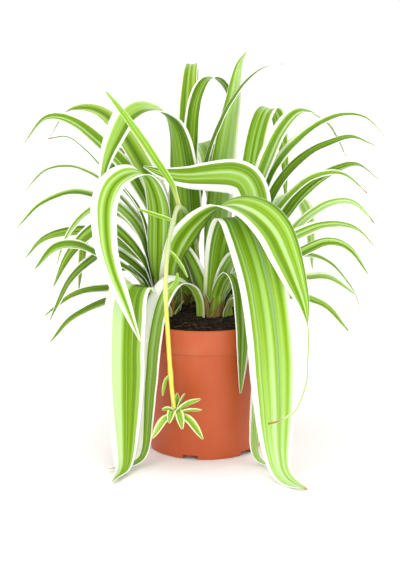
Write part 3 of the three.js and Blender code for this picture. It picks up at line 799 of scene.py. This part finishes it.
def join_into(target, parts, name):
    deselect_all()
    for part in parts:
        part.select_set(True)
    target.select_set(True)
    bpy.context.view_layer.objects.active = target
    bpy.ops.object.join()
    bpy.ops.object.transform_apply(location=True, rotation=True, scale=True)
    target.name = target.data.name = name
    return target


COMPOST_MATERIAL, tree, shader = new_material("peat_compost", 0.92, 1.4, 0.25)
place = add_node(tree, "ShaderNodeTexCoord").outputs["Object"]
lump = add_node(tree, "ShaderNodeTexNoise", inputs={"Scale": 260.0, "Detail": 6.0},
                links={"Vector": place}).outputs["Fac"]
tree.links.new(ramp(tree, lump, [(0.35, "140f0b"), (0.55, "2a2019"), (0.72, "4a3a2d")]),
               shader.inputs["Base Color"])
bump = add_node(tree, "ShaderNodeBump", inputs={"Strength": 0.7, "Distance": 0.8 * MM},
                links={"Height": lump})
tree.links.new(bump.outputs["Normal"], shader.inputs["Normal"])
FIBRE_MATERIAL, tree, shader = new_material("bark_fibre", 0.85, 1.4, 0.3)
place = add_node(tree, "ShaderNodeTexCoord").outputs["Object"]
tint = add_node(tree, "ShaderNodeTexNoise", inputs={"Scale": 60.0}, links={"Vector": place}).outputs["Fac"]
tree.links.new(ramp(tree, tint, [(0.35, "4f3822"), (0.65, "846443")]), shader.inputs["Base Color"])

compost.data.materials.append(COMPOST_MATERIAL)
pattern_crumb.data.materials.append(COMPOST_MATERIAL)
pattern_fibre.data.materials.append(FIBRE_MATERIAL)
strewn = scattered(CRUMBS, crumb, COMPOST_RADIUS - 2.5) + scattered(FIBRES, fibre, COMPOST_RADIUS - 8)
compost = join_into(compost, strewn, "compost_heap")
for pattern in (pattern_crumb, pattern_fibre):
    bpy.data.objects.remove(pattern)
stands_for(compost, "compost")
print("compost:", len(compost.data.polygons), "faces")


# %% [markdown]
# A crown is the short rootstock from which the leaves fan out. What one sees of it are the bases of old
# leaves: short sheaths, some still pale green and some dried to brown papery scales, packed round a stub.
# The stub is a squashed sphere with its lower part cut off, and the scales are short blades from the same
# pattern, set in rings and joined to it.

# %% Sheath materials and the crowns
SHEATH = leaf_material(
    "sheath_skin",
    [(0.0, "74833a"), (0.5, "929e50"), (1.0, "b2ba78")],
    "cdd29c", "8f9148", 0.55, 0.16 * MM, 0.9)
DRY_SHEATH = leaf_material(
    "dry_sheath_skin",
    [(0.0, "5a4426"), (0.5, "7d6136"), (1.0, "a08352")],
    "8a6e42", "5f5228", 0.7, 0.2 * MM, 1.2)
SCALES_PER_CROWN = 12
STUB_SIZE = (13, 13, 20)
STUB_MIDDLE = 100
STUB_FOOT = 98
# The scales are darkened a little by painted shade.
SCALE_LOOK = {"green_half": 0.9, "green_middle": 0.5, "dry_from": 1.2, "painted_shade": 0.4, "pale": 0.0}

for crown, (x, y) in CROWNS.items():
    deselect_all()
    bpy.ops.mesh.primitive_uv_sphere_add(segments=32, ring_count=16, radius=1, location=(0, 0, 0))
    stub = bpy.context.object
    bpy.ops.object.mode_set(mode="EDIT")
    bpy.ops.mesh.select_all(action="SELECT")
    bpy.ops.transform.resize(value=[size * MM for size in STUB_SIZE])
    bpy.ops.transform.translate(value=(x * MM, y * MM, STUB_MIDDLE * MM))
    bpy.ops.mesh.bisect(plane_co=(0, 0, STUB_FOOT * MM), plane_no=(0, 0, 1), use_fill=True, clear_inner=True)
    bpy.ops.object.mode_set(mode="OBJECT")
    stub.data.materials.append(SHEATH)
    bpy.ops.object.shade_smooth()
    scales = []
    for i in range(SCALES_PER_CROWN):
        heading = 360 * i / SCALES_PER_CROWN + random.uniform(-9, 9)
        start = random.choice((5, 8, 11, 13))
        rise = random.uniform(7, 20)
        lean = random.uniform(2, 7)
        dry = random.random() < 0.3
        path = [(start, 0, 104), (start + 1, 0, 114), (start + 1 + lean * 0.5, 0, 114 + rise * 0.6),
                (start + 1 + lean, 0, 114 + rise)]
        width = random.uniform(10, 13)
        roll = (0, random.uniform(-25, 25))
        look = {**SCALE_LOOK, "leaf_seed": random.random()}
        skin = DRY_SHEATH if dry else SHEATH
        scales.append(grow_blade("scale", path, (x, y, 0), heading, width, 13, roll, look, 0.6, skin, skin))
    clump = join_into(stub, scales, f"{crown}_crown_clump")
    stands_for(clump, f"{crown}_crown")
print("crowns:", len(CROWNS), "with", SCALES_PER_CROWN, "scales each")


# %% [markdown]
# A runner is the plant's way to spread: a wiry stem that arches over the rim under its own weight, with a
# swollen joint and a small bract leaf at each node and a young plant at its end. It is a curve with a round
# bevel, turned into a mesh. It is grey-green where it is young and rises, and straw-yellow where it hangs.

# %% The runner
RUNNER_RADIUS = 1.7
RUNNER_PATH = [(-5, 5, 110), (-5, 4, 140), (-6, 0, 160), (-9, -10, 178), (-14, -27, 194), (-20, -46, 202),
               (-24, -56, 192), (-28, -62, 172), (-29.5, -66, 140), (-28, -68, 109), (-25.5, -68, 69),
               (-23, -68, 47)]
JOINTS = [(-20, -46, 202), (-24, -56, 192), (-28, -62, 172), (-29.5, -66, 140), (-26, -68, 76)]
JOINT_SWELLING = 0.35
JOINT_LENGTH = 5

stem_path = smooth_path([Vector(point) for point in RUNNER_PATH])
stem_curve = bpy.data.curves.new("runner_stem", "CURVE")
stem_curve.dimensions = "3D"
stem_curve.bevel_depth = RUNNER_RADIUS * MM
stem_curve.bevel_resolution = 5
stem_curve.use_fill_caps = True
spline = stem_curve.splines.new("POLY")
spline.points.add(len(stem_path) - 1)
for point, place in zip(spline.points, stem_path):
    nearest = min((place - Vector(joint)).length for joint in JOINTS)
    point.co = (*(place * MM), 1)
    point.radius = 1 + JOINT_SWELLING * max(0, 1 - nearest / JOINT_LENGTH)
runner = bpy.data.objects.new("runner_stem", stem_curve)
bpy.context.collection.objects.link(runner)
make_active(runner)
bpy.ops.object.convert(target="MESH")
runner = bpy.context.object
bpy.ops.object.shade_smooth()

STEM_MATERIAL, tree, shader = new_material("runner_stem_skin", 0.42)
place = add_node(tree, "ShaderNodeTexCoord").outputs["Object"]
height = add_node(tree, "ShaderNodeSeparateXYZ", links={"Vector": place}).outputs["Z"]
streaks = add_node(tree, "ShaderNodeTexNoise", inputs={"Scale": 1.0, "Detail": 3.0}, links={
    "Vector": add_node(tree, "ShaderNodeMapping", inputs={"Scale": (900, 900, 60)},
                       links={"Vector": place}).outputs["Vector"]}).outputs["Fac"]
age = add_node(tree, "ShaderNodeMapRange", inputs={"From Min": 120 * MM, "From Max": 180 * MM},
               links={"Value": height}).outputs["Result"]
stem_colour = ramp(tree, age, [(0.0, "e0dc5e"), (0.45, "dfe08a"), (1.0, "b9c79a")])
tree.links.new(mix_colours(tree, math_node(tree, "MULTIPLY", streaks, 0.4), stem_colour, linear("a9b45a")),
               shader.inputs["Base Color"])
shader.inputs["Subsurface Weight"].default_value = 0.3
shader.inputs["Subsurface Radius"].default_value = (0.9, 1.0, 0.3)
shader.inputs["Subsurface Scale"].default_value = 1.0 * MM
runner.data.materials.append(STEM_MATERIAL)
stands_for(runner, "runner")

# %% The bracts
BRACT_SKIN = leaf_material(
    "bract_skin",
    [(0.0, "72a214"), (0.5, "8ab82a"), (1.0, "aed05c")],
    "dbe8a0", "d0c390", 0.42, 0.1 * MM, 0.8)
BRACTS = [
    {"width": 7, "roll": (30, 70), "midrib": [
        (0.5, -1.5, 6), (0.5, -3, 11), (-4, -4, 19), (-17, -6, 38), (-29, -8, 56), (-44, -10, 77),
        (-53, -11, 88)]},
    {"width": 3.6, "roll": (60,), "midrib": [(-3, -1, 2.5), (-10, -2, 5), (-18, -3, 8), (-26, -4, 11)]},
    {"width": 3.8, "roll": (-60,), "midrib": [(4, -1.5, -3), (8, -3, -8), (12, -4, -14), (15, -5, -20)]},
    {"width": 3.6, "roll": (-60,), "midrib": [(3.5, -1, 2), (7, -2, 6), (8.5, -3, 11), (9, -3, 16)]},
    {"width": 3.8, "roll": (60,), "midrib": [
        (-3.2, -1.5, -3), (-4.5, -2, -7), (-5.5, -2, -12), (-6, -2, -16)]},
]
for number, (joint, bract) in enumerate(zip(JOINTS, BRACTS), 1):
    right, back, _ = bract["midrib"][-1]
    heading = math.degrees(math.atan2(back, right))
    path = [(0, 0, 0)] + [(math.hypot(x, y), 0, z) for x, y, z in bract["midrib"]]
    # A bract gets only a little painted shade.
    look = {"leaf_seed": random.random(), "green_half": 0.8, "green_middle": 0.5, "dry_from": 1.1,
            "painted_shade": 0.1, "pale": 0.1}
    blade = grow_blade(f"bract_{number}_blade", path, joint, heading, bract["width"], bract["width"] * 0.7,
                       bract["roll"], look, 0.3, BRACT_SKIN, BRACT_SKIN)
    stands_for(blade, f"bract_{number}")
print("bracts:", len(BRACTS))


# %% [markdown]
# The young plant at the runner's end is a small rosette of a few leaves round a core, not yet rooted.

# %% The plantlet
PLANTLET_CORE = (-23, -68, 45)
PLANTLET_RADIUS = 4
PLANTLET_WIDTH = 7
YOUNG_SKIN = leaf_material(
    "young_leaf_skin",
    [(0.0, "6f9c14"), (0.5, "8db62c"), (1.0, "a9c952")],
    "e9ebb0", "c9cf6a", 0.4, 0.08 * MM, 0.8)
# Each of its leaves as (heading, reach, rise at the middle, rise at the tip, roll).
PLANTLET_LEAVES = [
    (70, 6, 8, 15, 60), (340, 21, 9, 14, -55), (352, 21, 3, 4, -50), (335, 24, -3, -17, 40),
    (205, 19, -4, -17, -40),
    (190, 10, 4, 4, 60), (250, 12, 4, -4, 10), (30, 9, 8, 15, -60), (300, 12, 3, -9, 10),
]
deselect_all()
bpy.ops.mesh.primitive_uv_sphere_add(segments=20, ring_count=12, radius=PLANTLET_RADIUS * MM,
                                     location=(0, 0, 0))
core = bpy.context.object
bpy.ops.object.mode_set(mode="EDIT")
bpy.ops.mesh.select_all(action="SELECT")
bpy.ops.transform.resize(value=(0.8, 0.8, 1.3))
bpy.ops.transform.translate(value=Vector(PLANTLET_CORE) * MM)
bpy.ops.object.mode_set(mode="OBJECT")
bpy.ops.object.shade_smooth()
core.data.materials.append(SHEATH)
young = []
for heading, reach, middle, tip, roll in PLANTLET_LEAVES:
    # A young leaf gets only a little painted shade.
    look = {"leaf_seed": random.random(), "green_half": 0.62, "green_middle": 0.5, "dry_from": 1.1,
            "painted_shade": 0.1, "pale": random.uniform(-0.2, 0.3)}
    path = [(0, 0, 0), (reach * 0.5, 0, middle), (reach, 0, tip)]
    young.append(grow_blade("young_leaf", path, PLANTLET_CORE, heading, PLANTLET_WIDTH, PLANTLET_WIDTH * 0.6,
                            (roll * 0.4, roll), look, 0.3, YOUNG_SKIN, YOUNG_SKIN))
plantlet = join_into(core, young, "plantlet_rosette")
stands_for(plantlet, "plantlet")
bpy.data.objects.remove(pattern_blade)
print("plantlet:", len(PLANTLET_LEAVES), "leaves")


# %% [markdown]
# The set is a wide white floor under a white sky, with three soft area lights: one above and to the left in
# front, a low broad fill from the front that reaches under the arching leaves, and one from behind.

# %% The set and the lights
deselect_all()
bpy.ops.mesh.primitive_plane_add(size=60, location=(0, 0, 0))
floor = bpy.context.object
floor.name = "studio_floor"
FLOOR_MATERIAL, tree, shader = new_material("white_paper", 0.9, 1.3, 0.1)
shader.inputs["Base Color"].default_value = linear("f7f7f7")
floor.data.materials.append(FLOOR_MATERIAL)

world = bpy.data.worlds.new("white_studio")
world.use_nodes = True
world.node_tree.nodes["Background"].inputs["Color"].default_value = (1, 1, 1, 1)
world.node_tree.nodes["Background"].inputs["Strength"].default_value = 1.1
bpy.context.scene.world = world
bpy.context.scene.view_settings.view_transform = "Standard"

PLANT_MIDDLE = Vector((0, 0, 0.14))
# Each light as (place, size, watts).
LIGHTS = {
    "key": ((-0.9, -1.1, 1.5), 1.0, 9),
    "fill": ((0.6, -1.6, 0.3), 1.2, 13),
    "back": ((0.4, 1.4, 1.3), 1.2, 8),
}
for name, (place, size, watts) in LIGHTS.items():
    bpy.ops.object.light_add(type="AREA", location=place)
    light = bpy.context.object
    light.name = name + "_light"
    light.data.size = size
    light.data.energy = watts
    light.rotation_euler = (PLANT_MIDDLE - Vector(place)).to_track_quat("-Z", "Y").to_euler()
print("lights:", ", ".join(LIGHTS))
